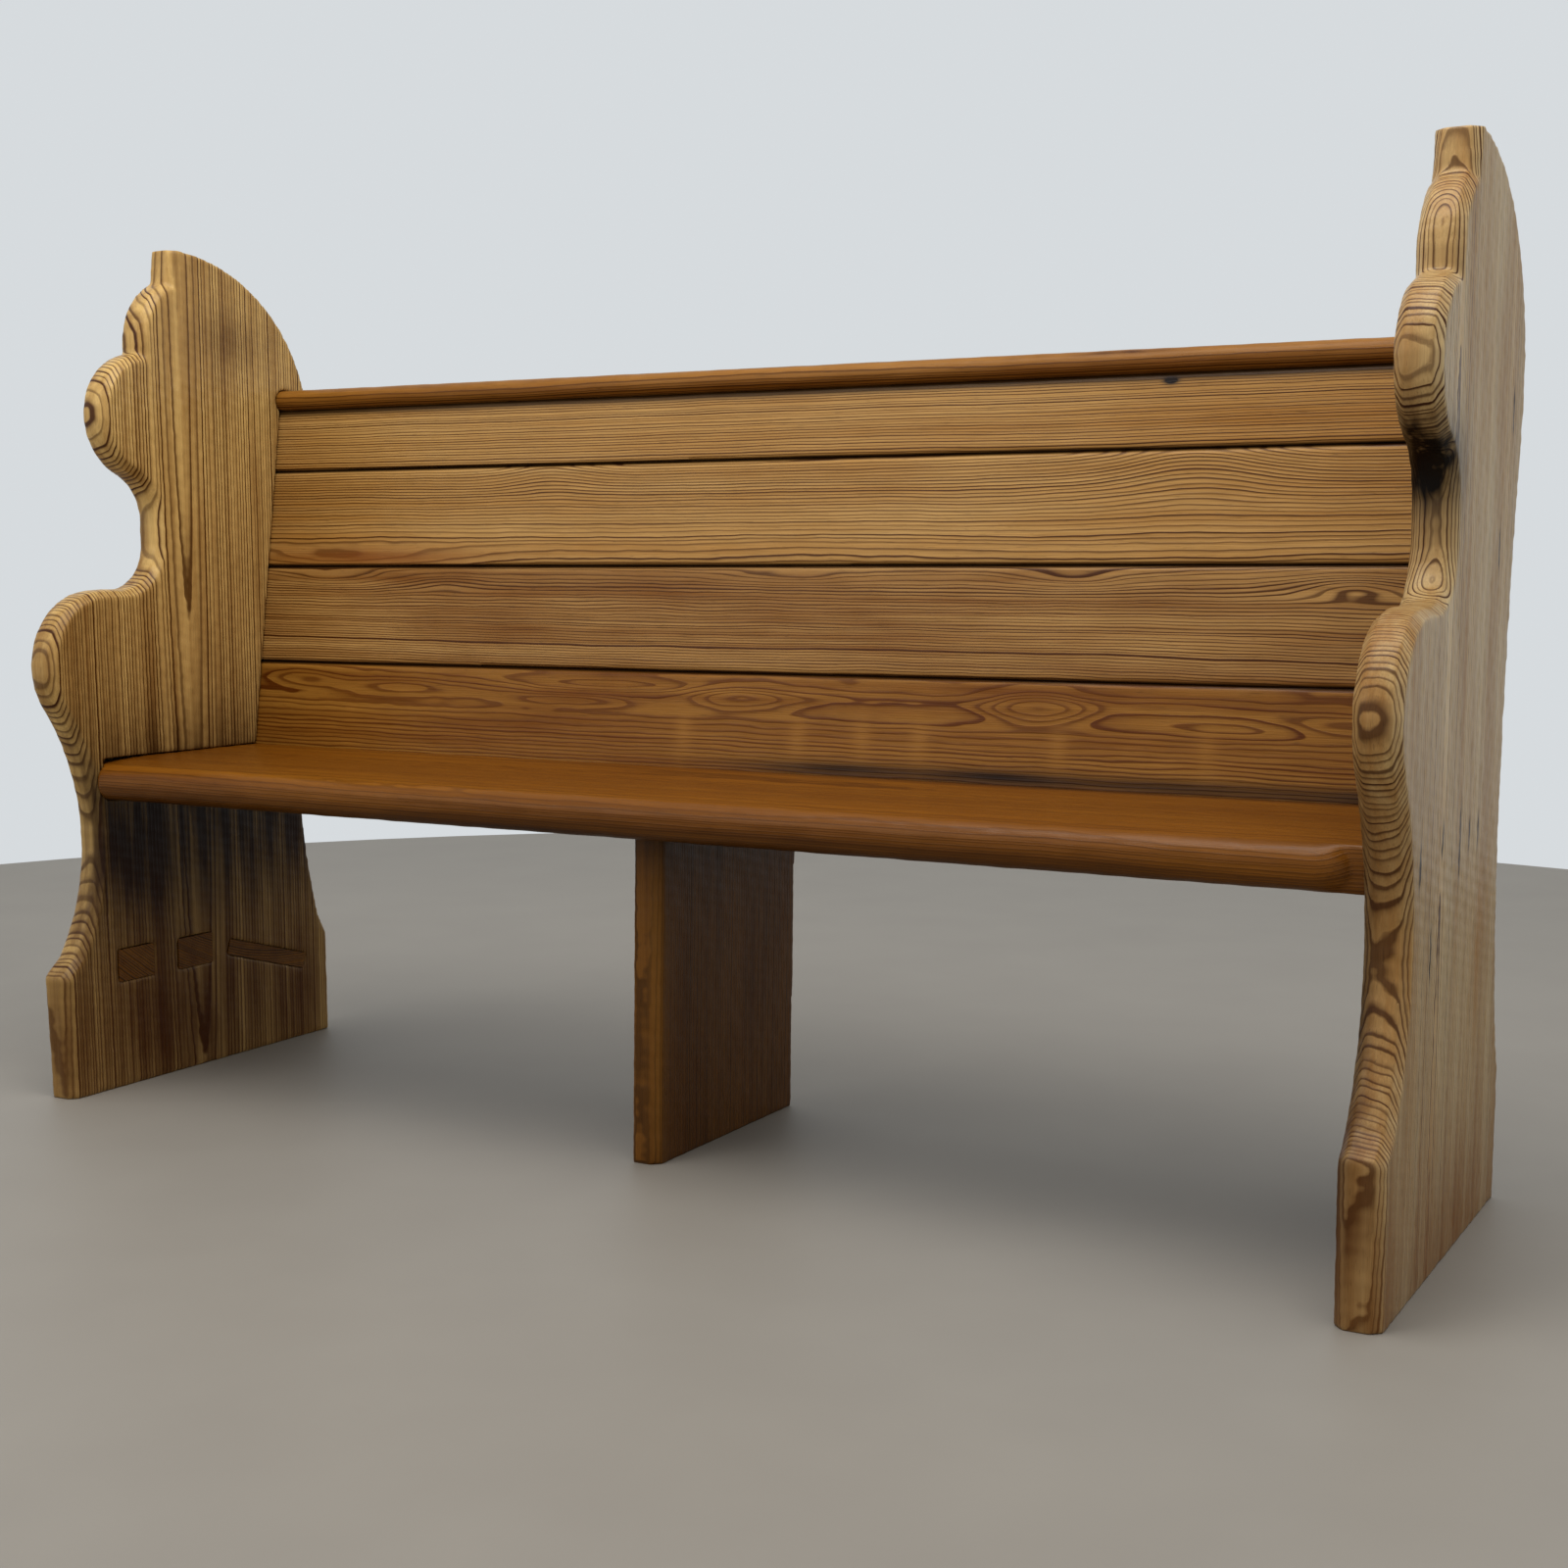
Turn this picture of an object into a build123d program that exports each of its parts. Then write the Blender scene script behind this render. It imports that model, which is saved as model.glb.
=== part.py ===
from build123d import *
import math
import os

# Pine church pew. +X runs along the seat, +Y is the back and +Z is up.
# The origin is on the floor under the middle of the pew. Lengths are in millimetres.
# Outlines of the ends, seat and boards are drawn as (Y, Z) and extruded along X.

# Overall
INNER_LENGTH = 1500.0  # between the inner faces of the two ends
END_THICKNESS = 42.0
HEIGHT = 1007.0
DEPTH = 444.0

# Ends
END_CHAMFER = 9.0  # along both front arrises
FOOT_HEIGHT = 147.0
FOOT_RAKE = 4.0  # the front of the foot leans out this much
FOOT_BEVEL = (22.0, 21.0)  # back and up, from the foot into the hollow
FRONT_WAIST = (-160.0, 305.0)  # deepest point of the hollow under the arm
ARM_CENTRE = (-132.0, 510.0)
ARM_RADIUS = 90.0
ARM_HOLLOW_Y = -48.5  # deepest line of the hollow above the arm
ARM_HOLLOW_RADIUS = 55.0
ARM_HOLLOW_TOP = 682.0
LOBE_CENTRE = (-53.0, 805.0)
LOBE_RADIUS = 76.0
SMALL_LOBE_CENTRE = (17.0, 893.0)
SMALL_LOBE_RADIUS = 82.0
NIB_FOOT_Y = -17.0
NIB_TOP_Y = -12.0
CROWN_CENTRE = (-12.0, 805.0)  # of the quarter ellipse over the back of the end
CROWN_REACH = 229.0
BACK_EDGE = ((203.5, 700.0), (185.5, 540.0))  # between the crown and the waist
BACK_WAIST = (179.5, 390.0)
HEEL_BOW = (187.5, 265.0)
HEEL_HEIGHT = 133.0
HEEL_BEVEL = (14.5, 29.0)

# Seat
SEAT_TOP = 401.5
SEAT_TILT = 0.19  # degrees, up to the right
SEAT_THICKNESS = 47.0
SEAT_FRONT = -163.0
SEAT_BACK = 174.0
SEAT_DISH = 7.0  # fall of the top towards its front edge
SEAT_DISH_START = -78.0
SEAT_NOSE = 19.0  # radius over and under the front edge
SEAT_CORNER = 45.0  # plan radius of the worn front corner on the right
SEAT_HOUSING = 20.0  # depth of the seat's housing in each end
SEAT_HOUSING_FRONT = -149.0
SEAT_HOUSING_SLACK = 0.8  # above the seat

# Back boards
RECLINE = 8.4  # degrees
BACK_FACE_Y = 104.0  # face of the boards where it meets the top of the seat
BOARD_THICKNESS = 18.0
BACK_BASE = 400.0  # height of the point from which the boards' edges are measured
LEFT_EDGES = (-1.0, 105.6, 228.0, 350.3, 430.0)  # up the slope, from the seat to the rail
RIGHT_EDGES = (4.0, 114.9, 235.3, 352.8, 430.0)
RAIL_LOW = LEFT_EDGES[-1]
BOARD_NAMES = ("back_board_bottom", "back_board_lower", "back_board_upper", "back_board_top")
BOARD_HOUSING = 12.0  # depth of the boards' and rail's housing in each end
BOARD_SEAT_GROOVE = 8.0
BOARD_EASE = 2.0
JOINT_GAP = 1.6  # open shadow line between two boards
TONGUE_WIDTH = 6.0
TONGUE_REACH = 7.0
GROOVE_WIDTH = 6.5
GROOVE_DEPTH = 8.0
SEAM = 0.7  # open line round the boards and the rail where they enter an end

# Cap rail
RAIL_HEIGHT = 26.0
RAIL_DEPTH = 46.0
RAIL_OVERHANG = 9.0
RAIL_EASE = 3.0

# Centre leg and the brace above it
LEG_X = -16.0
LEG_THICKNESS = 33.0
LEG_LEAN = 7.0  # sideways, over its whole height
LEG_FRONT = -104.0
LEG_BACK = 182.0
LEG_CHAMFERS = (4.0, 9.0)  # left and right front arris
LEG_HOUSING = 10.0  # into the underside of the seat
BRACE_WIDTH = 45.0

# Filled mortises in the left end: centre (Y, Z), width, height, turn in degrees
PATCH_DEPTH = 14.0
PATCHES = {
    "mortise_fill_sliver": ((-133.5, 148.5), 13.0, 39.0, 0.0),
    "mortise_fill_front": ((-105.5, 148.5), 43.0, 39.0, 0.0),
    "mortise_fill_middle": ((-15.5, 147.0), 57.0, 38.0, 0.0),
    "mortise_fill_rear": ((110.0, 122.0), 142.0, 20.0, -16.8),
}

# Fixings
NAIL_RADIUS = 2.5
NAIL_HEAD_RADIUS = 4.5
NAIL_HEAD_THICKNESS = 1.5
NAIL_SINK = 4.0  # the heads lie this far under the surface, stopped over
END_NAIL_LENGTH = 75.0
END_NAIL_Y = (-90.0, 10.0, 110.0)
LEG_NAIL_LENGTH = 80.0
LEG_NAIL_Y = (-60.0, 10.0, 80.0)
SCREW_RADIUS = 2.2
SCREW_HEAD_RADIUS = 4.5
SCREW_HEAD_THICKNESS = 2.6
SCREW_LENGTH = 30.0
SCREW_SPREAD = 12.0  # each side of the brace's middle line

INNER_X = INNER_LENGTH / 2
OUTER_X = INNER_X + END_THICKNESS
FRONT_Y = -DEPTH / 2
BACK_Y = DEPTH / 2
SEAT_UNDERSIDE = SEAT_TOP - SEAT_THICKNESS
RAIL_BACK = RAIL_DEPTH - RAIL_OVERHANG
SLOPE = math.radians(RECLINE)


def slab(outline, start_x, end_x):
    """Extrude a face drawn as (Y, Z) from one X to another."""
    face = Plane.YZ.offset(start_x) * outline
    return extrude(face, amount=end_x - start_x, dir=(1, 0, 0))


def polygon(points):
    return make_face(Polyline(*points, close=True))


def in_back(across, up):
    """The (Y, Z) of a place in the leaning back, given across and up the boards."""
    y = BACK_FACE_Y + across * math.cos(SLOPE) + up * math.sin(SLOPE)
    z = BACK_BASE - across * math.sin(SLOPE) + up * math.cos(SLOPE)
    return (y, z)


def back_polygon(points):
    return polygon([in_back(across, up) for across, up in points])


def touching_radius(start, centre, radius):
    """Radius of the upright arc from start that runs on into a round lobe."""
    across = centre[0] - start[0]
    up = centre[1] - start[1]
    return (across**2 + up**2 - radius**2) / (2 * (radius - across))


def along(first, second, share):
    """The point at a share of the way from one point to another."""
    return tuple(a + share * (b - a) for a, b in zip(first, second))


def arc(centre, start, end):
    """The shorter arc round a centre between two points."""
    radius = math.dist(centre, start)
    middle = along(start, end, 0.5)
    return ThreePointArc(start, along(centre, middle, radius / math.dist(centre, middle)), end)


# Ends

def under_arm():
    """Front of an end from the floor, up the foot and hollow, to the front of the arm."""
    foot_bottom = (FRONT_Y + FOOT_RAKE, 0)
    foot_top = (FRONT_Y, FOOT_HEIGHT)
    bevel_top = (FRONT_Y + FOOT_BEVEL[0], FOOT_HEIGHT + FOOT_BEVEL[1])
    rise = FRONT_WAIST[1] - bevel_top[1]
    inset = FRONT_WAIST[0] - bevel_top[0]
    lower_radius = (rise**2 + inset**2) / (2 * inset)
    lower_centre = (FRONT_WAIST[0] - lower_radius, FRONT_WAIST[1])
    upper_radius = touching_radius(FRONT_WAIST, ARM_CENTRE, ARM_RADIUS)
    upper_centre = (FRONT_WAIST[0] - upper_radius, FRONT_WAIST[1])
    touch = along(ARM_CENTRE, upper_centre, ARM_RADIUS / (ARM_RADIUS + upper_radius))
    arm_front = (ARM_CENTRE[0] - ARM_RADIUS, ARM_CENTRE[1])
    return [
        Line(foot_bottom, foot_top),
        Line(foot_top, bevel_top),
        arc(lower_centre, bevel_top, FRONT_WAIST),
        arc(upper_centre, FRONT_WAIST, touch),
        arc(ARM_CENTRE, touch, arm_front),
    ]


def over_arm():
    """Front of an end from the front of the arm up to the hollow above it."""
    arm_front = (ARM_CENTRE[0] - ARM_RADIUS, ARM_CENTRE[1])
    arm_top = (ARM_CENTRE[0], ARM_CENTRE[1] + ARM_RADIUS)
    hollow_centre = (ARM_HOLLOW_Y - ARM_HOLLOW_RADIUS, arm_top[1] + ARM_HOLLOW_RADIUS)
    hollow_start = (hollow_centre[0], arm_top[1])
    hollow_back = (ARM_HOLLOW_Y, hollow_centre[1])
    return [
        arc(ARM_CENTRE, arm_front, arm_top),
        Line(arm_top, hollow_start),
        arc(hollow_centre, hollow_start, hollow_back),
        Line(hollow_back, (ARM_HOLLOW_Y, ARM_HOLLOW_TOP)),
    ]


def lobes():
    """Front of an end from the hollow above the arm up to the top of the nib."""
    bend = (ARM_HOLLOW_Y, ARM_HOLLOW_TOP)
    bend_radius = touching_radius(bend, LOBE_CENTRE, LOBE_RADIUS)
    bend_centre = (bend[0] - bend_radius, bend[1])
    touch = along(LOBE_CENTRE, bend_centre, LOBE_RADIUS / (LOBE_RADIUS + bend_radius))
    notch_y = SMALL_LOBE_CENTRE[0] - SMALL_LOBE_RADIUS
    notch_rise = math.sqrt(LOBE_RADIUS**2 - (notch_y - LOBE_CENTRE[0]) ** 2)
    notch = (notch_y, LOBE_CENTRE[1] + notch_rise)
    lobe_front = (LOBE_CENTRE[0] - LOBE_RADIUS, LOBE_CENTRE[1])
    small_front = (notch_y, SMALL_LOBE_CENTRE[1])
    nib_across = NIB_FOOT_Y - SMALL_LOBE_CENTRE[0]
    nib_rise = math.sqrt(SMALL_LOBE_RADIUS**2 - nib_across**2)
    nib_foot = (NIB_FOOT_Y, SMALL_LOBE_CENTRE[1] + nib_rise)
    return [
        arc(bend_centre, bend, touch),
        arc(LOBE_CENTRE, touch, lobe_front),
        arc(LOBE_CENTRE, lobe_front, notch),
        Line(notch, small_front),
        arc(SMALL_LOBE_CENTRE, small_front, nib_foot),
        Line(nib_foot, (NIB_TOP_Y, HEIGHT)),
    ]


def back_edge():
    """The crown, the leaning back edge, the heel and the sole of an end."""
    crown = EllipticalCenterArc(CROWN_CENTRE, CROWN_REACH, HEIGHT - CROWN_CENTRE[1])
    crown_end = (CROWN_CENTRE[0] + CROWN_REACH, CROWN_CENTRE[1])
    heel_top = (BACK_Y, HEEL_HEIGHT)
    bevel_top = (BACK_Y - HEEL_BEVEL[0], HEEL_HEIGHT + HEEL_BEVEL[1])
    down = (0, -1)
    return [
        crown,
        Spline(crown_end, *BACK_EDGE, BACK_WAIST, tangents=[down, down]),
        ThreePointArc(BACK_WAIST, HEEL_BOW, bevel_top),
        Line(bevel_top, heel_top),
        Line(heel_top, (BACK_Y, 0)),
        Line((BACK_Y, 0), (FRONT_Y + FOOT_RAKE, 0)),
    ]


def end_blank():
    """An end before its housings are cut, with both front arrises chamfered."""
    front = under_arm() + over_arm() + lobes()
    blank = slab(make_face(front + back_edge()), INNER_X, OUTER_X)
    front_curves = [Plane.YZ.offset(x) * curve for x in (INNER_X, OUTER_X) for curve in front]
    arrises = [
        edge
        for edge in blank.edges()
        if any((edge @ 0.5 - curve @ 0.5).length < 0.1 for curve in front_curves)
    ]
    return chamfer(arrises, END_CHAMFER)


# Back boards, rail and brace

def board_outline(bottom, top, grooved=True):
    """A back board's section: a tongue on its upper edge, a groove in its lower one."""
    low = bottom + JOINT_GAP / 2 if grooved else bottom
    high = top - JOINT_GAP / 2
    middle = BOARD_THICKNESS / 2
    tongue = (middle - TONGUE_WIDTH / 2, middle + TONGUE_WIDTH / 2)
    groove = (middle - GROOVE_WIDTH / 2, middle + GROOVE_WIDTH / 2)
    points = [(BOARD_THICKNESS, low), (BOARD_THICKNESS, high)]
    points += [(tongue[1], high), (tongue[1], high + TONGUE_REACH)]
    points += [(tongue[0], high + TONGUE_REACH), (tongue[0], high)]
    points += [(BOARD_EASE, high), (0, high - BOARD_EASE)]
    if not grooved:
        return back_polygon(points + [(0, low)])
    points += [(0, low + BOARD_EASE), (BOARD_EASE, low)]
    points += [(groove[0], low), (groove[0], low + GROOVE_DEPTH)]
    points += [(groove[1], low + GROOVE_DEPTH), (groove[1], low)]
    return back_polygon(points)


def back_board(index):
    """One board, a little wider at one end, the lowest let into the top of the seat."""
    half = INNER_X + BOARD_HOUSING
    lowest = index == 0
    ends = []
    for edges, x in ((LEFT_EDGES, -half), (RIGHT_EDGES, half)):
        bottom = edges[0] - BOARD_SEAT_GROOVE if lowest else edges[index]
        outline = board_outline(bottom, edges[index + 1], grooved=not lowest)
        ends.append(Plane.YZ.offset(x) * outline)
    return loft(ends, ruled=True)


def rail_outline():
    """The cap rail's section: a full round nose in front, a groove for the top board."""
    low = RAIL_LOW
    high = low + RAIL_HEIGHT
    nose = RAIL_HEIGHT / 2
    nose_start = nose - RAIL_OVERHANG
    middle = BOARD_THICKNESS / 2
    groove = (middle - GROOVE_WIDTH / 2, middle + GROOVE_WIDTH / 2)
    top_line = [(nose_start, high), (RAIL_BACK - RAIL_EASE, high), (RAIL_BACK, high - RAIL_EASE)]
    under_line = [(RAIL_BACK, low), (groove[1], low), (groove[1], low + GROOVE_DEPTH)]
    under_line += [(groove[0], low + GROOVE_DEPTH), (groove[0], low), (nose_start, low)]
    body = Polyline(*[in_back(*place) for place in top_line + under_line])
    front = ThreePointArc(
        in_back(nose_start, low),
        in_back(nose_start - nose, low + nose),
        in_back(nose_start, high),
    )
    return make_face([body, front])


def cap_rail():
    half = INNER_X + BOARD_HOUSING
    return slab(rail_outline(), -half, half)


def brace():
    """An upright batten behind the boards, from the seat to the underside of the rail."""
    sides = (BOARD_THICKNESS, RAIL_BACK)
    outline = back_polygon(
        [(sides[0], 0), (sides[1], 0), (sides[1], RAIL_LOW), (sides[0], RAIL_LOW)]
    )
    return slab(outline, LEG_X - BRACE_WIDTH / 2, LEG_X + BRACE_WIDTH / 2)


# Seat and centre leg

def plank(half, front):
    """The seat plank with square edges, its top falling towards the front."""
    outline = polygon(
        [(front, SEAT_UNDERSIDE), (SEAT_BACK, SEAT_UNDERSIDE), (SEAT_BACK, SEAT_TOP), (front, SEAT_TOP)]
    )
    start = (SEAT_DISH_START, SEAT_TOP)
    end = (SEAT_FRONT, SEAT_TOP - SEAT_DISH)
    bow = ((start[0] + end[0]) / 2, SEAT_TOP - SEAT_DISH / 4)
    above = Polyline(end, (end[0], SEAT_TOP + 1), (start[0], SEAT_TOP + 1), start)
    dish = make_face([ThreePointArc(start, bow, end), above])
    return slab(outline, -half, half) - slab(dish, -half, half)


def tilted(shape):
    """Turn the level seat, or its housing, to its slight slope along the pew."""
    return Pos(0, 0, SEAT_TOP) * Rot(0, -SEAT_TILT, 0) * Pos(0, 0, -SEAT_TOP) * shape


def seat():
    body = plank(INNER_X - SEAM / 2, SEAT_FRONT)
    corner = body.edges().filter_by(Axis.Z).group_by(Axis.Y)[0].sort_by(Axis.X)[-1]
    body = fillet(corner, SEAT_CORNER)
    nose = [edge for edge in body.edges().filter_by(Axis.X) if (edge @ 0.5).Y < SEAT_FRONT + 1]
    body = fillet(nose, SEAT_NOSE)
    return tilted(body + plank(INNER_X + SEAT_HOUSING, SEAT_HOUSING_FRONT))


def centre_leg():
    """The board under the middle of the seat, set crosswise and leaning a little sideways."""
    height = SEAT_UNDERSIDE + LEG_HOUSING
    left = LEG_X - LEG_THICKNESS / 2
    right = LEG_X + LEG_THICKNESS / 2
    corners = [(left, 0), (right, 0), (right + LEG_LEAN, height), (left + LEG_LEAN, height)]
    outline = Plane.XZ.offset(-LEG_BACK) * polygon(corners)
    leg = extrude(outline, amount=LEG_BACK - LEG_FRONT, dir=(0, -1, 0))
    for side, size in zip((0, -1), LEG_CHAMFERS):
        front = leg.faces().sort_by(Axis.Y)[0]
        arrises = front.edges().filter_by(lambda edge: edge.length > height - 1)
        leg = chamfer(arrises.sort_by(Axis.X)[side], size)
    return leg


# Small pieces

def mortise_fill(centre, width, height, turn):
    """A flush patch let into the inner face of the left end."""
    place = Pos(-INNER_X - PATCH_DEPTH / 2, *centre) * Rot(turn, 0, 0)
    return place * Box(PATCH_DEPTH, width, height)


def nail(length):
    """A nail standing on its point at Z = -length, the top of its head at Z = 0."""
    aligned = (Align.CENTER, Align.CENTER, Align.MAX)
    shank = Cylinder(NAIL_RADIUS, length, align=aligned)
    return shank + Cylinder(NAIL_HEAD_RADIUS, NAIL_HEAD_THICKNESS, align=aligned)


def end_nails():
    """Three nails through each end into the seat."""
    height = SEAT_UNDERSIDE + SEAT_THICKNESS / 2
    nails = []
    for side in (-1, 1):
        for y in END_NAIL_Y:
            place = Pos(side * (OUTER_X - NAIL_SINK), y, height) * Rot(0, side * 90, 0)
            nails.append(place * nail(END_NAIL_LENGTH))
    return Compound(nails)


def leg_nails():
    """Nails down through the seat into the top of the leg."""
    x = LEG_X + LEG_LEAN
    return Compound([Pos(x, y, SEAT_TOP - NAIL_SINK) * nail(LEG_NAIL_LENGTH) for y in LEG_NAIL_Y])


def screw():
    """A countersunk screw along -Z, its head's top at Z = 0."""
    aligned = (Align.CENTER, Align.CENTER, Align.MAX)
    shank = Cylinder(SCREW_RADIUS, SCREW_LENGTH, align=aligned)
    head = Cone(SCREW_RADIUS, SCREW_HEAD_RADIUS, SCREW_HEAD_THICKNESS, align=aligned)
    return shank + head


def brace_screws():
    """Two screws through the brace into each board."""
    screws = []
    for low, high in zip(LEFT_EDGES, RIGHT_EDGES[1:]):
        up = (low + high) / 2
        y, z = in_back(RAIL_BACK, up)
        for side in (-1, 1):
            place = Pos(LEG_X + side * SCREW_SPREAD, y, z) * Rot(-90 - RECLINE, 0, 0)
            screws.append(place * screw())
    return Compound(screws)


# Housings

def seat_housing(side):
    """The slot for the seat in one end, open at the back edge."""
    outline = polygon(
        [
            (SEAT_HOUSING_FRONT, SEAT_UNDERSIDE),
            (BACK_Y, SEAT_UNDERSIDE),
            (BACK_Y, SEAT_TOP + SEAT_HOUSING_SLACK),
            (SEAT_HOUSING_FRONT, SEAT_TOP + SEAT_HOUSING_SLACK),
        ]
    )
    reach = sorted((side * (INNER_X - SEAM), side * (INNER_X + SEAT_HOUSING)))
    return tilted(slab(outline, *reach))


def back_housing(side):
    """The slot for the boards and the rail in one end."""
    low = -BOARD_SEAT_GROOVE
    top = RAIL_LOW + GROOVE_DEPTH
    back = BOARD_THICKNESS
    reach = sorted((side * INNER_X, side * (INNER_X + BOARD_HOUSING)))
    boards = back_polygon([(-SEAM, low), (back, low), (back, top), (-SEAM, top)])
    rail = offset(rail_outline(), amount=SEAM)
    return slab(boards, *reach) + slab(rail, *reach)


def pew():
    """Every piece by its node name, cut to fit its neighbours."""
    pieces = {name: back_board(index) for index, name in enumerate(BOARD_NAMES)}
    pieces["cap_rail"] = cap_rail()
    pieces["back_brace"] = brace()
    pieces["brace_screws"] = brace_screws()
    pieces["end_nails"] = end_nails()
    pieces["leg_nails"] = leg_nails()
    pieces["centre_leg"] = centre_leg()
    for name, patch in PATCHES.items():
        pieces[name] = mortise_fill(*patch)
    right = end_blank()
    left = mirror(right, about=Plane.YZ)
    pieces["right_end"] = right - seat_housing(1) - back_housing(1)
    left = left - seat_housing(-1) - back_housing(-1)
    pieces["left_end"] = left - [pieces[name] for name in PATCHES]
    pieces["seat"] = seat() - pieces["back_board_bottom"] - pieces["centre_leg"]
    pieces["back_brace"] = pieces["back_brace"] - pieces["seat"]
    fixings = {
        "end_nails": ("left_end", "right_end", "seat"),
        "leg_nails": ("seat", "centre_leg"),
        "brace_screws": ("back_brace", *BOARD_NAMES),
    }
    for fixing, names in fixings.items():
        for name in names:
            pieces[name] = pieces[name] - pieces[fixing].solids()
    return pieces


os.makedirs("parts", exist_ok=True)
for node, shape in pew().items():
    export_step(shape, f"parts/{node}.step")
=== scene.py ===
import bpy
import math
import numpy as np
from mathutils import Euler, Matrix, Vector


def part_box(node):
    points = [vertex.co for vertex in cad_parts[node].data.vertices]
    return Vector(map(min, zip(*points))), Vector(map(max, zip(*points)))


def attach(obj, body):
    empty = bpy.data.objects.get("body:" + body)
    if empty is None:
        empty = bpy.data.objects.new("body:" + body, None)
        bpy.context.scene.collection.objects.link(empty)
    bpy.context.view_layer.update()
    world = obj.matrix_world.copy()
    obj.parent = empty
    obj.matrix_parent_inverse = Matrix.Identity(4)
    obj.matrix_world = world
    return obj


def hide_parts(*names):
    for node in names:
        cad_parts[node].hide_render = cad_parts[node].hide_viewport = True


# Church pew of old waxed pine. Lengths are in metres, +X runs along the seat, +Y is the back, +Z is up.
# The CAD nodes give every size; their copies are given worn arrises and wood materials here.

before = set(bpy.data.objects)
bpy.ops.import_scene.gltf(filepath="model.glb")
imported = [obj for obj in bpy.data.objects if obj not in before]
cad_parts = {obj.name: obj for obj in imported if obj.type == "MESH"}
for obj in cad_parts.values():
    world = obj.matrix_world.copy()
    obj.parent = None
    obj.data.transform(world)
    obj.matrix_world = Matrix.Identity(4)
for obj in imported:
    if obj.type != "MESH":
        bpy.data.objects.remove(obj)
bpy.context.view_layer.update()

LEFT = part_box("left_end")
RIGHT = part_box("right_end")
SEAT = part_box("seat")
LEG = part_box("centre_leg")
FLOOR_RADIUS = 2.6
FLOOR_SIDES = 96

# Joints between the back boards on their front faces, from the seat up to the rail:
# height at the middle, rise to the right in metres a metre, and reach of the painted shade above and below;
# the last one is painted shadow under the cap rail
JOINTS = (
    (0.5091, 0.0062, 0.004),
    (0.6292, 0.0049, 0.004),
    (0.7478, 0.0017, 0.004),
    (0.8230, 0.0, 0.008),
)

# Wear
VOXEL = 0.003  # sets how round an arris gets
END_VOXEL = 0.0029  # for the ends
WELD = 0.00002
END_CROWN = 0.003  # how far the front edge of an end falls away to its sides
CROWN_FROM = -0.02  # it fades in towards the front from here, over the reach below
CROWN_REACH = 0.06
FOOT_TOP = 0.15  # and upwards from here
FOOT_REACH = 0.03
# Directions and rates, in radians a metre, of the waves that make the faces uneven
WAVES = ((190, 60, 90), (-80, 210, 130), (60, -150, 240), (130, 330, -170), (-40, 120, 470))

# One year's growth from pale early wood to the dark line of late wood, as (part of the ring, darkness)
YEAR = ((0.0, 0.5), (0.05, 0.0), (0.48, 0.04), (0.66, 0.35), (0.80, 1.0), (0.96, 1.0), (1.0, 0.5))

# Noise cells in a metre, along the grain and across it
SLOW_BEND = (1.6, 7.0)
QUICK_BEND = (9.0, 45.0)
FIBRES = (14.0, 700.0)
FLECKS = (60.0, 900.0)
CLOUDS = (2.2, 9.0)
STREAKS = (1.4, 70.0)
PLANED = (9.0, 9.0)
PITS = (400.0, 400.0)
MOTTLE = (6.0, 6.0)

# Wood colours
STRAW = (0.46, 0.272, 0.095)
HONEY = (0.33, 0.155, 0.030)
AMBER = (0.185, 0.066, 0.006)
RUSSET = (0.070, 0.020, 0.0012)
UMBER = (0.018, 0.006, 0.0012)
GREY_TAN = (0.56, 0.415, 0.225)
NEAR_BLACK = (0.008, 0.005, 0.004)

# Wax, and the depth and strength of the finest relief
SPECULAR = 0.18
COAT_ROUGHNESS = 0.28
WOOD_RELIEF = (0.0012, 0.35)
IRON_RELIEF = (0.0004, 0.4)


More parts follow.
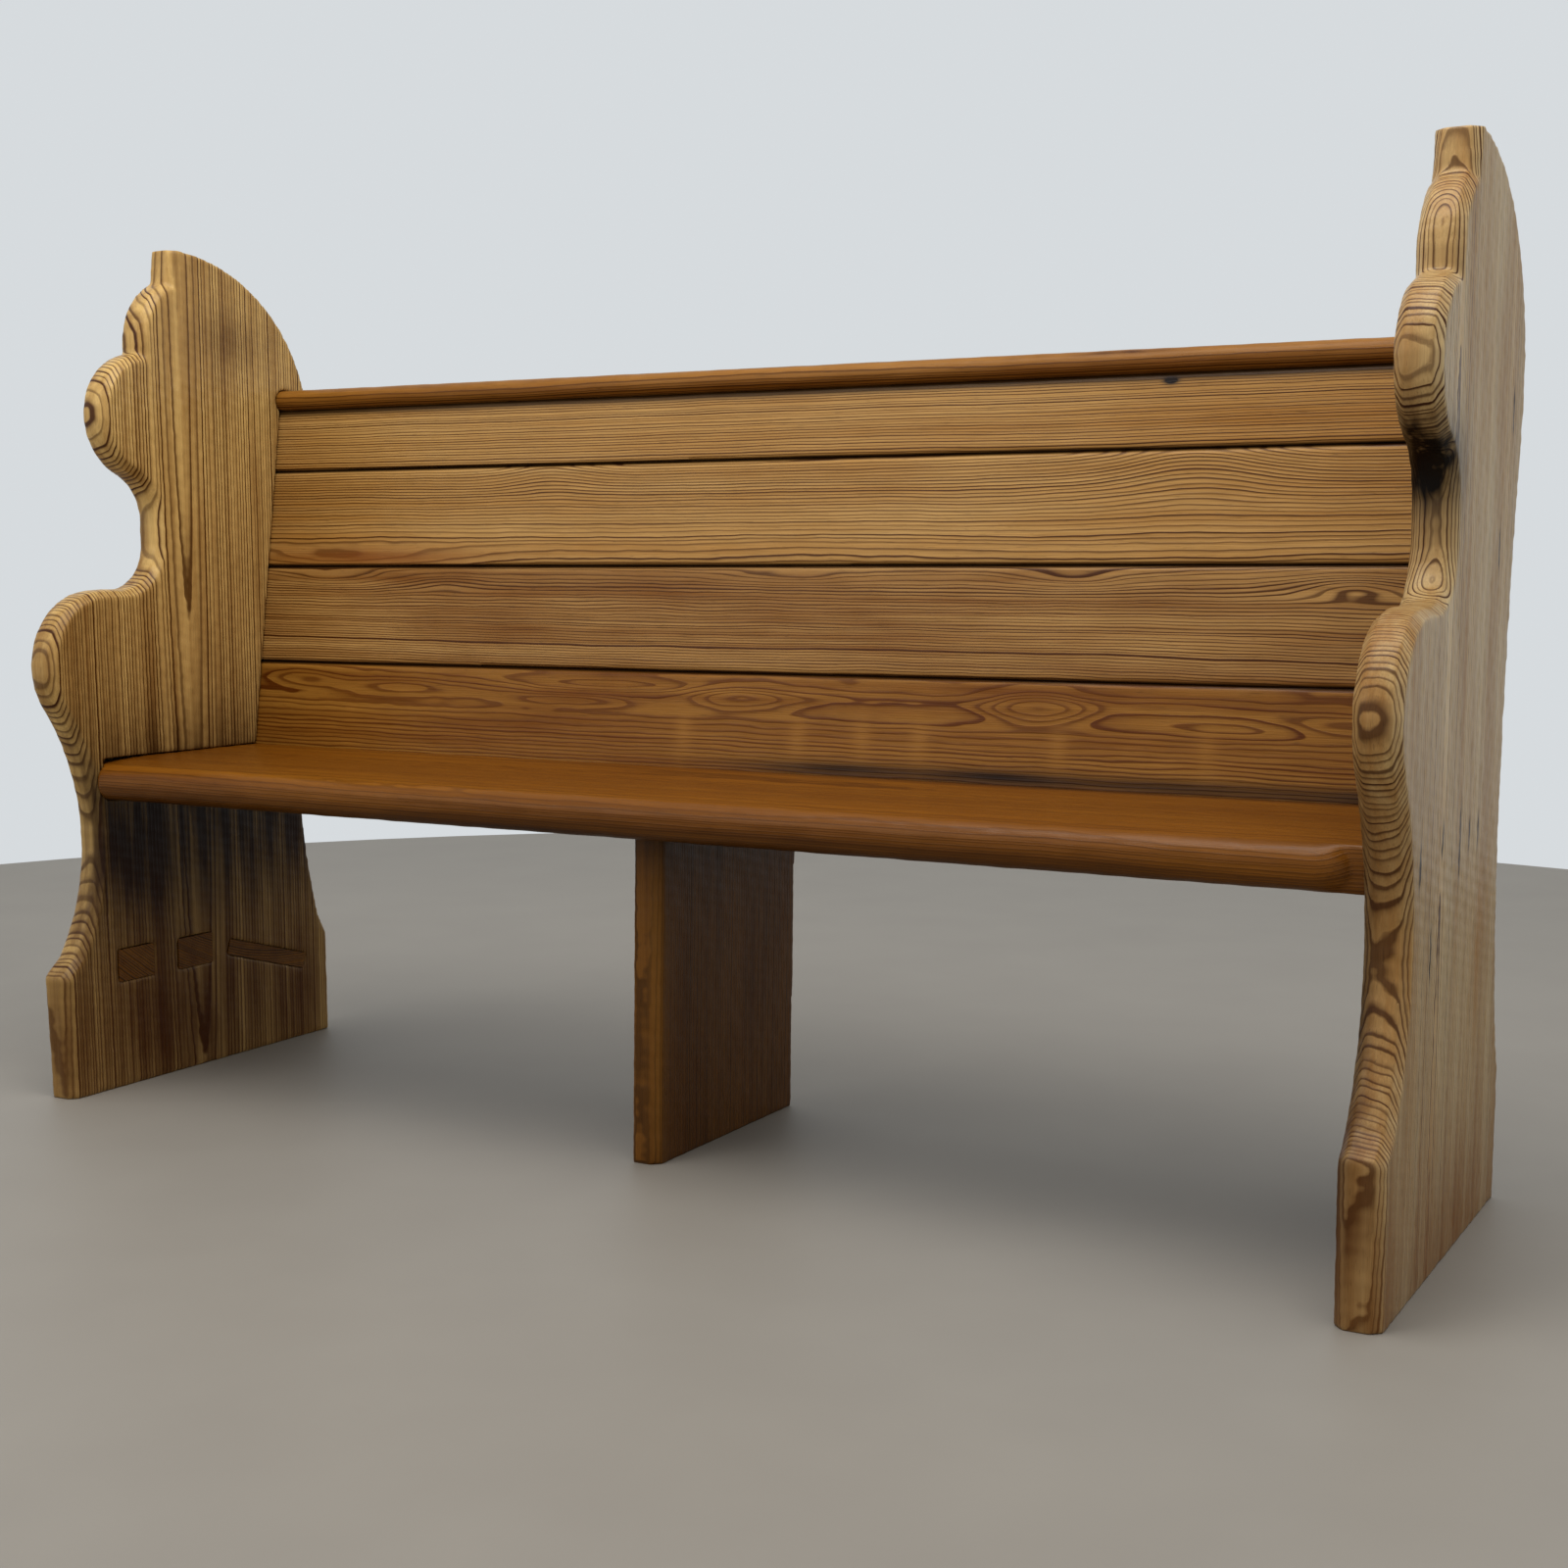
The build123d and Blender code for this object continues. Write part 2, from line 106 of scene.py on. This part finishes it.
class Graph:
    """A material's nodes, put in one by one."""

    def __init__(self, name):
        self.material = bpy.data.materials.new(name)
        self.material.use_nodes = True
        self.tree = self.material.node_tree
        self.tree.nodes.clear()
        self.output = self.put("ShaderNodeOutputMaterial")
        self.shader = self.put("ShaderNodeBsdfPrincipled")
        self.tree.links.new(self.shader.outputs[0], self.output.inputs[0])
        where = self.put("ShaderNodeTexCoord").outputs
        self.place = where["Object"]
        self.turn = where["Normal"]

    def put(self, kind, **settings):
        node = self.tree.nodes.new(kind)
        for key, value in settings.items():
            setattr(node, key, value)
        return node

    def plug(self, value, socket):
        if isinstance(value, bpy.types.NodeSocket):
            self.tree.links.new(value, socket)
        else:
            socket.default_value = value

    def math(self, operation, *values, clamp=False):
        node = self.put("ShaderNodeMath", operation=operation, use_clamp=clamp)
        for value, socket in zip(values, node.inputs):
            self.plug(value, socket)
        return node.outputs[0]

    def vector(self, operation, *values):
        node = self.put("ShaderNodeVectorMath", operation=operation)
        for value, socket in zip(values, node.inputs):
            self.plug(value, socket)
        return node.outputs["Value" if operation == "LENGTH" else "Vector"]

    def split(self, vector):
        node = self.put("ShaderNodeSeparateXYZ")
        self.plug(vector, node.inputs[0])
        return node.outputs

    def join(self, x, y, z):
        node = self.put("ShaderNodeCombineXYZ")
        for value, socket in zip((x, y, z), node.inputs):
            self.plug(value, socket)
        return node.outputs[0]

    def noise(self, vector, stretch, detail=2.0, rough=0.5):
        """Noise from -0.5 to 0.5 about, with so many cells a metre along each axis."""
        node = self.put("ShaderNodeTexNoise")
        node.inputs["Scale"].default_value = 1.0
        node.inputs["Detail"].default_value = detail
        node.inputs["Roughness"].default_value = rough
        self.plug(self.vector("MULTIPLY", vector, stretch), node.inputs["Vector"])
        return self.math("SUBTRACT", node.outputs[0], 0.5)

    def ramp(self, value, stops):
        """Smooth steps from (position, level) pairs."""
        node = self.put("ShaderNodeValToRGB")
        ramp = node.color_ramp
        while len(ramp.elements) < len(stops):
            ramp.elements.new(0.5)
        for element, (position, level) in zip(ramp.elements, stops):
            element.position = position
            element.color = (level, level, level, 1.0)
        self.plug(value, node.inputs[0])
        return node.outputs[0]

    def mix(self, factor, low, high, blend="MIX"):
        node = self.put("ShaderNodeMix", data_type="RGBA", blend_type=blend)
        self.plug(factor, node.inputs[0])
        for value, socket in ((low, node.inputs[6]), (high, node.inputs[7])):
            self.plug((*value, 1.0) if isinstance(value, tuple) else value, socket)
        return node.outputs[2]

    def blob(self, centre, radii):
        """1 at the centre of a soft ellipsoid, falling to nothing outside it."""
        offset = self.vector("SUBTRACT", self.place, centre)
        scaled = self.vector("DIVIDE", offset, radii)
        reach = self.vector("LENGTH", scaled)
        square = self.math("MULTIPLY", reach, reach)
        return self.math("POWER", math.e, self.math("MULTIPLY", square, -1.0))

    def relief(self, height, distance, strength):
        node = self.put("ShaderNodeBump")
        node.inputs["Strength"].default_value = strength
        node.inputs["Distance"].default_value = distance
        self.plug(height, node.inputs["Height"])
        self.plug(node.outputs[0], self.shader.inputs["Normal"])


def cells(size, grain="X"):
    """A noise's cells a metre on the three axes, for grain that runs along X or Z."""
    along, across = size
    return (along, across, across) if grain == "X" else (across, across, along)


def rings(graph, grain, heart, ring, sway, ripple, swells, seed, opening):
    """Distance from the heart of the tree in ring widths, bent as it is in a real plank."""
    x, y, z = graph.split(graph.place)
    moved = graph.vector("ADD", graph.place, (seed * 1.7, seed * 2.3, seed * 3.1))
    run = x if grain == "X" else z
    side = z if grain == "X" else x
    (side_at, side_lean), (depth_at, depth_lean) = heart
    across = graph.math("SUBTRACT", side, graph.math("MULTIPLY_ADD", run, side_lean, side_at))
    deep = graph.math("SUBTRACT", y, graph.math("MULTIPLY_ADD", run, depth_lean, depth_at))
    radius = graph.vector("LENGTH", graph.join(across, deep, 0.0))
    for bend, size in ((SLOW_BEND, sway), (QUICK_BEND, ripple)):
        radius = graph.math("MULTIPLY_ADD", graph.noise(moved, cells(bend, grain)), size, radius)
    for centre, radii, size in swells:
        radius = graph.math("MULTIPLY_ADD", graph.blob(centre, radii), size, radius)
    # the first rings round the heart are wider
    square = graph.math("MULTIPLY", radius, radius)
    grown = graph.math("DIVIDE", square, graph.math("ADD", radius, opening))
    count = graph.math("DIVIDE", grown, ring)
    uneven = graph.noise(graph.join(count, seed * 5.0, 0.0), (0.55, 1.0, 1.0), 1.0)
    return graph.math("MULTIPLY_ADD", uneven, 1.6, count)


def pine(name, grain="X", heart=((0.6, 0.0), (0.2, 0.0)), ring=0.0032, sway=0.010, ripple=0.0022,
         swells=(), stains_and_shade=(), early=STRAW, late=AMBER, contrast=0.9, shade=HONEY, shading=0.5,
         rough=0.38, coat=0.10, seed=1.0, worn=0.35, opening=0.0, shaded_seams=(), edge=None):
    """Pine with growth rings that run through the whole piece, so every face shows its own cut of them.

    heart is the place and lean of the tree's middle, sideways and in depth, and ring the width of a year.
    sway and ripple bend the rings slowly and quickly. swells bend them, and stains colour the wood, in
    soft ellipsoids, some of them painted shade. worn is how pale the arrises are rubbed, and edge a tint and
    strength for narrow faces.
    """
    graph = Graph(name)
    count = rings(graph, grain, heart, ring, sway, ripple, swells, seed, opening)
    line = graph.ramp(graph.math("FRACT", count), YEAR)
    toss = graph.put("ShaderNodeTexWhiteNoise", noise_dimensions="1D")
    graph.plug(graph.math("FLOOR", count), toss.inputs["W"])
    # some years leave a darker line than others
    bold = graph.math("MULTIPLY_ADD", toss.outputs["Value"], 0.6, 0.6)
    dark = graph.math("MULTIPLY", graph.math("MULTIPLY", line, bold), contrast, clamp=True)
    fibre = graph.noise(graph.place, cells(FIBRES, grain), 3.0, 0.6)
    cloud = graph.noise(graph.place, cells(CLOUDS, grain), 3.0, 0.6)
    streak = graph.noise(graph.place, cells(STREAKS, grain), 2.0, 0.6)
    # the wood between the lines drifts from its pale colour to its shade
    tone = graph.math("MULTIPLY_ADD", cloud, 1.54, shading, clamp=True)
    tone = graph.math("MULTIPLY_ADD", streak, 1.4, tone, clamp=True)
    colour = graph.mix(dark, graph.mix(tone, early, shade), late)
    colour = flecked(graph, colour, fibre, grain)
    colour = stained_and_shaded(graph, colour, stains_and_shade, cloud, streak)
    # painted shade along the joints between the boards
    colour = joint_shade(graph, colour, shaded_seams)
    if edge:
        colour = edged(graph, colour, *edge)
    # arrises rubbed pale, and painted shade darkening the hollows
    colour = rubbed(graph, colour, early, worn)
    graph.plug(colour, graph.shader.inputs["Base Color"])
    # the dark lines are harder, so they take more polish and stand a little proud
    dull = graph.math("MULTIPLY_ADD", dark, -0.07, rough)
    dull = graph.math("MULTIPLY_ADD", cloud, 0.22, dull)
    graph.plug(graph.math("MULTIPLY_ADD", fibre, 0.12, dull), graph.shader.inputs["Roughness"])
    graph.shader.inputs["Specular IOR Level"].default_value = SPECULAR
    graph.shader.inputs["Coat Weight"].default_value = coat
    graph.shader.inputs["Coat Roughness"].default_value = COAT_ROUGHNESS
    ridges = graph.math("MULTIPLY_ADD", line, 0.6, graph.math("MULTIPLY", fibre, 0.9))
    dips = graph.noise(graph.place, cells(PLANED), 3.0)
    graph.relief(graph.math("MULTIPLY_ADD", dips, 3.0, ridges), *WOOD_RELIEF)
    return graph.material


def flecked(graph, colour, fibre, grain):
    """Short dark resin flecks, and fibres a little lighter and darker."""
    fleck = graph.noise(graph.place, cells(FLECKS, grain), 1.0)
    speck = graph.ramp(fleck, ((0.0, 0.0), (0.16, 0.0), (0.24, 1.0)))
    colour = graph.mix(graph.math("MULTIPLY", speck, 0.25), colour, UMBER)
    colour = graph.vector("SCALE", colour)
    graph.plug(graph.math("MULTIPLY_ADD", fibre, 0.55, 1.0), colour.node.inputs["Scale"])
    return colour


def stained_and_shaded(graph, colour, stains_and_shade, cloud, streak):
    """Soft marks of stain or painted shade, each given as centre, radii, tint and strength, broken up along
    the grain.
    """
    breakup = graph.math("MULTIPLY_ADD", cloud, 1.6, 0.9)
    breakup = graph.math("MULTIPLY_ADD", streak, 1.4, breakup)
    for centre, radii, tint, strength in stains_and_shade:
        mark = graph.math("MULTIPLY", graph.blob(centre, radii), breakup)
        colour = graph.mix(graph.math("MULTIPLY", mark, strength, clamp=True), colour, tint)
    return colour


def joint_shade(graph, colour, shaded_seams):
    """Painted shade in the joints along a board's edges."""
    x, _, z = graph.split(graph.place)
    for height, slope, width in shaded_seams:
        line = graph.math("MULTIPLY_ADD", x, slope, height)
        gap = graph.math("ABSOLUTE", graph.math("SUBTRACT", z, line))
        amount = graph.ramp(graph.math("DIVIDE", gap, width), ((0.0, 0.95), (0.35, 0.8), (1.0, 0.0)))
        colour = graph.mix(amount, colour, UMBER)
    return colour


def edged(graph, colour, tint, strength):
    """A tint on the narrow faces of a board whose broad faces look along X."""
    turned = graph.math("ABSOLUTE", graph.split(graph.turn)[0])
    narrow = graph.ramp(turned, ((0.0, 1.0), (0.55, 1.0), (0.85, 0.0)))
    return graph.mix(graph.math("MULTIPLY", narrow, strength), colour, tint, "MULTIPLY")


def rubbed(graph, colour, early, worn):
    """Arrises rubbed pale, and painted shade in the hollows. Pointiness is 0.5 on a flat face."""
    sharp = graph.put("ShaderNodeNewGeometry").outputs["Pointiness"]
    arris = graph.ramp(sharp, ((0.0, 0.0), (0.515, 0.0), (0.58, 1.0)))
    # painted shade where the surface is concave
    hollow_shade = graph.ramp(sharp, ((0.0, 1.0), (0.42, 1.0), (0.488, 0.0)))
    pale = graph.mix(0.5, colour, early)
    colour = graph.mix(graph.math("MULTIPLY", arris, worn), colour, pale)
    return graph.mix(graph.math("MULTIPLY", hollow_shade, 0.75), colour, UMBER)


def metal(name, colour, rough):
    """Old bare iron or steel with brown tarnish."""
    graph = Graph(name)
    spots = graph.noise(graph.place, cells(PITS), 4.0, 0.7)
    amount = graph.math("MULTIPLY_ADD", spots, 2.5, 0.4, clamp=True)
    graph.plug(graph.mix(amount, colour, (0.09, 0.045, 0.025)), graph.shader.inputs["Base Color"])
    graph.shader.inputs["Metallic"].default_value = 0.8
    graph.plug(graph.math("MULTIPLY_ADD", spots, 0.5, rough), graph.shader.inputs["Roughness"])
    graph.relief(spots, *IRON_RELIEF)
    return graph.material


def softened(node, voxel, rounds):
    """A copy of a CAD node, remeshed and smoothed so that its arrises are round."""
    piece = bpy.data.objects.new(f"{node}_worn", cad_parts[node].data.copy())
    bpy.context.scene.collection.objects.link(piece)
    piece.modifiers.new("weld", "WELD").merge_threshold = WELD
    remesh = piece.modifiers.new("remesh", "REMESH")
    remesh.mode = "VOXEL"
    remesh.voxel_size = voxel
    remesh.use_smooth_shade = True
    smooth = piece.modifiers.new("smooth", "SMOOTH")
    smooth.factor = 0.5
    smooth.iterations = rounds
    shaped = bpy.data.meshes.new_from_object(piece.evaluated_get(bpy.context.evaluated_depsgraph_get()))
    piece.modifiers.clear()
    piece.data = shaped
    return piece


def crowned(points, normals, crown):
    """Push the front edge of an end back towards its two sides, so that it is slightly round."""
    left, right = points[:, 0].min(), points[:, 0].max()
    across = (2 * points[:, 0] - left - right) / (right - left)
    front = np.clip((CROWN_FROM - points[:, 1]) / CROWN_REACH, 0, 1)
    above = np.clip((points[:, 2] - FOOT_TOP) / FOOT_REACH, 0, 1)
    # the broad faces, whose normals lie along X, stay flat
    edge = np.clip(1.3 - 1.5 * np.abs(normals[:, 0]), 0, 1)
    points[:, 1:] -= normals[:, 1:] * (crown * across**2 * front * above * edge)[:, None]


def worn_piece(node, voxel, rounds, wobble, material, crown=0.0):
    """The shown copy of a CAD node: arrises worn round, and faces uneven by about the wobble."""
    piece = softened(node, voxel, rounds)
    shaped = piece.data
    points = np.empty(len(shaped.vertices) * 3)
    shaped.vertices.foreach_get("co", points)
    normals = np.empty(len(shaped.vertices) * 3)
    shaped.vertex_normals.foreach_get("vector", normals)
    points = points.reshape(-1, 3)
    normals = normals.reshape(-1, 3)
    if crown:
        crowned(points, normals, crown)
    lift = sum(np.sin(points @ np.array(wave)) for wave in WAVES) / len(WAVES)
    points += normals * (lift * wobble)[:, None]
    shaped.vertices.foreach_set("co", points.ravel())
    shaped.update()
    shaped.materials.clear()
    shaped.materials.append(material)
    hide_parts(node)
    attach(piece, "root")


def finish_node(node, material):
    """A CAD node shown as it is, with its material."""
    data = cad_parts[node].data
    data.materials.clear()
    data.materials.append(material)


def left_end():
    face = LEFT[1].x
    heart = ((face - 0.0367, 0.035), (-0.006, 0.0))
    stains_and_shade = [
        ((face, 0.02, 0.300), (0.03, 0.40, 0.13), UMBER, 1.2),  # painted shade under the seat
        ((face, 0.085, 0.905), (0.03, 0.06, 0.035), RUSSET, 0.55),  # a dark patch near the top
        ((face, 0.0, 0.06), (0.05, 0.40, 0.16), RUSSET, 0.8),  # the foot
    ]
    wood = pine("pine_left_end", "Z", heart, ring=0.0042, opening=0.06, sway=0.0045, ripple=0.0012, seed=3.0,
                early=(0.60, 0.39, 0.145), shade=AMBER, late=RUSSET, shading=0.25, contrast=0.88,
                stains_and_shade=stains_and_shade)
    worn_piece("left_end", END_VOXEL, 3, 0.0005, wood, crown=END_CROWN)


def right_end():
    face, outer = RIGHT[0].x, RIGHT[1].x
    heart = ((face + 0.030, -0.008), (-0.060, 0.0))
    stains_and_shade = [
        ((face + 0.012, -0.080, 0.718), (0.040, 0.055, 0.042), NEAR_BLACK, 1.9),  # black, under the scroll
        ((face + 0.010, -0.150, 0.420), (0.035, 0.035, 0.08), RUSSET, 0.4),  # beside the seat's front
        ((face, 0.0, 0.20), (0.012, 0.40, 0.25), UMBER, 0.9),  # painted shade on the inner face, under the seat
        ((face + 0.042, 0.0, 0.0), (0.05, 0.45, 0.13), AMBER, 0.7),  # the foot
        ((face, -0.2, 0.10), (0.03, 0.03, 0.16), RUSSET, 0.5),  # the foot's front corner
        ((outer, 0.10, 0.27), (0.02, 0.015, 0.09), HONEY, 0.7),  # a darker patch on the outer face
    ]
    # dark slits in the outer face: depth, height and half length
    slits = (
        (-0.138, 0.383, 0.016), (-0.058, 0.397, 0.014), (0.010, 0.386, 0.030), (0.048, 0.389, 0.012),
        (0.084, 0.387, 0.014), (0.171, 0.775, 0.016), (0.130, 0.647, 0.014), (-0.090, 0.300, 0.020),
    )
    stains_and_shade += [((outer, y, z), (0.006, 0.0020, long), UMBER, 2.5) for y, z, long in slits]
    wood = pine("pine_right_end", "Z", heart, ring=0.0031, opening=0.01, sway=0.008, ripple=0.0022, seed=8.0,
                early=GREY_TAN, shade=HONEY, late=RUSSET, shading=0.30, contrast=0.85, stains_and_shade=stains_and_shade,
                edge=((0.78, 0.66, 0.48), 0.8))
    worn_piece("right_end", END_VOXEL, 3, 0.0005, wood, crown=END_CROWN)


def boards():
    # the bold islands on the lowest board: place along, height, half length, half height and swell
    figure = (
        (-0.68, 0.487, 0.07, 0.012, 0.008), (-0.50, 0.480, 0.15, 0.013, 0.011),
        (-0.26, 0.472, 0.10, 0.009, 0.009), (-0.20, 0.492, 0.13, 0.007, -0.007),
        (-0.03, 0.482, 0.085, 0.014, 0.014), (0.15, 0.484, 0.14, 0.008, 0.006),
        (0.335, 0.484, 0.060, 0.016, 0.015), (0.49, 0.488, 0.12, 0.010, 0.008),
        (0.55, 0.470, 0.08, 0.010, -0.006), (0.66, 0.478, 0.11, 0.012, 0.009),
    )
    islands = [((x, 0.12, z), (long, 0.2, high), size) for x, z, long, high, size in figure]
    # where the lines of the upper and the lower board bend
    dips = [
        ((-0.31, 0.14, 0.745), (0.07, 0.2, 0.03), -0.007),
        ((0.486, 0.14, 0.745), (0.09, 0.2, 0.05), -0.012),
        ((-0.62, 0.14, 0.638), (0.16, 0.2, 0.014), 0.007),
    ]
    waves = [
        ((-0.64, 0.13, 0.612), (0.10, 0.2, 0.014), -0.007),
        ((-0.46, 0.13, 0.606), (0.05, 0.2, 0.010), 0.004),
        ((0.02, 0.13, 0.616), (0.10, 0.2, 0.010), -0.005),
        ((0.37, 0.13, 0.617), (0.07, 0.2, 0.013), -0.007),
        ((0.66, 0.13, 0.610), (0.06, 0.2, 0.012), 0.010),
    ]
    # rubbed marks low on the lowest board, and a darker line where it meets the seat
    pale_at = (-0.10, 0.05, 0.13, 0.20, 0.36, 0.52)
    dust = [((x, 0.105, 0.44), (0.012, 0.05, 0.030), HONEY, 0.5) for x in pale_at]
    dark_at = (0.10, 0.30, 0.50, 0.68)
    foot = [((x, 0.105, 0.409), (0.12, 0.05, 0.009), UMBER, 0.9) for x in dark_at]
    red = [((-0.58, 0.13, 0.640), (0.16, 0.2, 0.010), (0.20, 0.055, 0.006), 0.7)]
    # painted shade standing in for a small hole under the rail
    hole_shade = [((0.455, 0.150, 0.8175), (0.007, 0.03, 0.0035), NEAR_BLACK, 3.0)]
    low, middle, high, top = JOINTS
    looks = {
        "back_board_bottom": dict(
            heart=((0.485, 0.0), (0.20, 0.0)), ring=0.0034, ripple=0.005, swells=islands, seed=2.0,
            early=(0.33, 0.160, 0.030), late=(0.11, 0.030, 0.002), shade=AMBER, shading=0.45,
            stains_and_shade=dust + foot, shaded_seams=(low,)),
        "back_board_lower": dict(
            heart=((0.650, 0.0), (0.21, 0.0)), ring=0.0028, ripple=0.004, swells=waves, seed=5.0,
            late=RUSSET, shade=AMBER, shading=0.45, contrast=1.0, shaded_seams=(low, middle)),
        "back_board_upper": dict(
            heart=((0.58, 0.0), (0.26, 0.0)), ring=0.0023, swells=dips, seed=6.0,
            late=RUSSET, shading=0.40, contrast=0.85, stains_and_shade=red, shaded_seams=(middle, high)),
        "back_board_top": dict(
            heart=((0.98, 0.0), (0.22, 0.0)), ring=0.0032, ripple=0.003, seed=7.0,
            late=RUSSET, shading=0.45, contrast=1.0, stains_and_shade=hole_shade, shaded_seams=(high, top)),
    }
    for node, look in looks.items():
        worn_piece(node, VOXEL, 2, 0.0002, pine(f"pine_{node}", "X", **look))


def cap_rail():
    wood = pine("pine_cap_rail", "X", ((0.70, 0.0), (0.30, 0.0)), early=HONEY, late=RUSSET, shade=AMBER,
                shading=0.5, seed=9.0)
    worn_piece("cap_rail", VOXEL, 2, 0.0003, wood)


def seat():
    back = SEAT[1].y
    stains_and_shade = [
        ((0.40, back - 0.065, SEAT[1].z), (0.50, 0.022, 0.05), UMBER, 0.75),  # darker along the foot of the back boards
        ((0.0, SEAT[0].y, SEAT[0].z), (1.2, 0.06, 0.022), UMBER, 0.6),  # painted shade under the front nose, along the lower front arris
    ]
    wood = pine("pine_seat", "X", ((0.0, 0.0), (0.05, 0.0)), ring=0.003, seed=4.0,
                early=(0.235, 0.090, 0.007), late=RUSSET, shade=(0.150, 0.050, 0.003), shading=0.5,
                contrast=0.5, rough=0.34, coat=0.14, stains_and_shade=stains_and_shade, worn=0.5)
    worn_piece("seat", VOXEL, 3, 0.0004, wood)


def centre_leg():
    corner = (LEG[1].x, LEG[0].y, 0.18)
    stains_and_shade = [
        (corner, (0.012, 0.012, 0.30), HONEY, 0.9),  # the rubbed front corner
        ((0.0, 0.04, LEG[1].z), (0.1, 0.3, 0.06), UMBER, 0.8),  # painted shade under the seat
    ]
    wood = pine("pine_leg", "Z", ((LEG[0].x + 0.02, 0.0), (0.30, 0.0)), ring=0.0036, seed=11.0,
                early=(0.190, 0.080, 0.013), late=UMBER, shade=(0.085, 0.028, 0.003), shading=0.35,
                contrast=0.85, stains_and_shade=stains_and_shade)
    worn_piece("centre_leg", VOXEL, 3, 0.0004, wood)


def small_parts():
    patch = pine("pine_fill", "X", seed=13.0, early=(0.20, 0.085, 0.012), late=UMBER,
                 shade=(0.11, 0.038, 0.004), coat=0.03)
    for place in ("sliver", "front", "middle", "rear"):
        finish_node(f"mortise_fill_{place}", patch)
    raw = pine("pine_brace", "Z", ((0.1, 0.0), (0.3, 0.0)), seed=14.0, early=GREY_TAN, coat=0.0, rough=0.6)
    finish_node("back_brace", raw)
    iron = metal("iron", (0.10, 0.085, 0.075), 0.55)
    finish_node("end_nails", iron)
    finish_node("leg_nails", iron)
    finish_node("brace_screws", metal("steel", (0.42, 0.40, 0.37), 0.42))


def room():
    """A plain, pale, round floor."""
    paint = Graph("floor_paint")
    mottle = paint.noise(paint.place, cells(MOTTLE), 4.0)
    tone = paint.math("MULTIPLY_ADD", mottle, 0.8, 0.5, clamp=True)
    paint.plug(paint.mix(tone, (0.26, 0.232, 0.198), (0.30, 0.27, 0.23)), paint.shader.inputs["Base Color"])
    paint.shader.inputs["Roughness"].default_value = 0.55
    turns = [math.tau * step / FLOOR_SIDES for step in range(FLOOR_SIDES)]
    rim = [(FLOOR_RADIUS * math.cos(turn), FLOOR_RADIUS * math.sin(turn), 0.0) for turn in turns]
    data = bpy.data.meshes.new("floor")
    data.from_pydata(rim, [], [tuple(range(len(rim)))])
    ground = bpy.data.objects.new("floor", data)
    bpy.context.scene.collection.objects.link(ground)
    data.materials.append(paint.material)


def lamp(name, place, aim, size, power):
    """A soft rectangular lamp that looks at a point."""
    data = bpy.data.lights.new(name, "AREA")
    data.shape = "RECTANGLE"
    data.size, data.size_y = size
    data.energy = power
    light = bpy.data.objects.new(name, data)
    light.location = place
    light.rotation_euler = (Vector(aim) - Vector(place)).to_track_quat("-Z", "Y").to_euler()
    bpy.context.scene.collection.objects.link(light)


def studio():
    """An even sky, a wide soft light from above and a weak window on the left."""
    world = bpy.data.worlds.new("studio")
    world.use_nodes = True
    sky = world.node_tree.nodes["Background"]
    sky.inputs["Color"].default_value = (0.93, 0.97, 1.0, 1.0)
    sky.inputs["Strength"].default_value = 0.625
    bpy.context.scene.world = world
    lamp("ceiling", (0.3, -0.6, 2.6), (0.0, 0.0, 0.4), (2.4, 1.4), 38.0)
    lamp("window", (-1.6, -2.6, 1.9), (0.0, 0.0, 0.5), (1.6, 1.2), 10.0)


def camera():
    """Stands to the right in front of the pew and looks a little down."""
    pitch, heading = 7.25, 29.32
    data = bpy.data.cameras.new("camera")
    data.lens = 48.28
    data.sensor_width = 36.0
    data.shift_x = -0.0175
    data.shift_y = 0.0219
    data.clip_end = 50.0
    eye = bpy.data.objects.new("camera", data)
    bpy.context.scene.collection.objects.link(eye)
    eye.location = (1.2003, -1.9062, 0.6458)
    eye.rotation_euler = Euler((math.radians(90 - pitch), 0.0, math.radians(heading)), "XYZ")
    bpy.context.scene.camera = eye


left_end()
right_end()
boards()
cap_rail()
seat()
centre_leg()
small_parts()
room()
studio()
camera()
bpy.context.scene.view_settings.view_transform = "Standard"
bpy.context.scene.view_settings.look = "Medium High Contrast"
